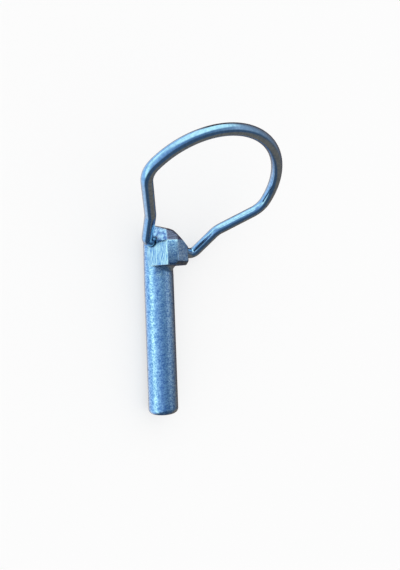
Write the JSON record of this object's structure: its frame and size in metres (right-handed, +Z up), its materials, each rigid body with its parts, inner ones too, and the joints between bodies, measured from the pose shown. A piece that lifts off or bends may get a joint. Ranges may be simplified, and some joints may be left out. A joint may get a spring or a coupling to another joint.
{
  "type": "spring locking pin",
  "caption": "Steel shaft locking pin with an off-centre head and a round spring-wire hoop that swings down and snaps over the far side.",
  "frame": {"origin": "on the shaft's axis where its plain length starts, at the foot of the flare under the head", "axes": "+Z up from the surface the pin lies on; +Y along the shaft from its tip towards the head; +X to the side the hoop leans towards"},
  "size_m": [0.0516, 0.0847, 0.0425],
  "materials": {
    "zinc_steel": "bright zinc plate, tumbled",
    "zinc_wire": "bright zinc plate on drawn spring wire"
  },
  "bodies": {
    "pin": {"pin": "zinc_steel"},
    "hoop": {"hoop": "zinc_wire"}
  },
  "joints": [
    {"name": "hoop_swing", "type": "hinge", "parent": "pin", "child": "hoop", "pos_m": [0.00057, 0.0098, 0.0016], "axis": [0.9274, -0.1702, -0.3332], "range_deg": [-220, 121]}
  ]
}
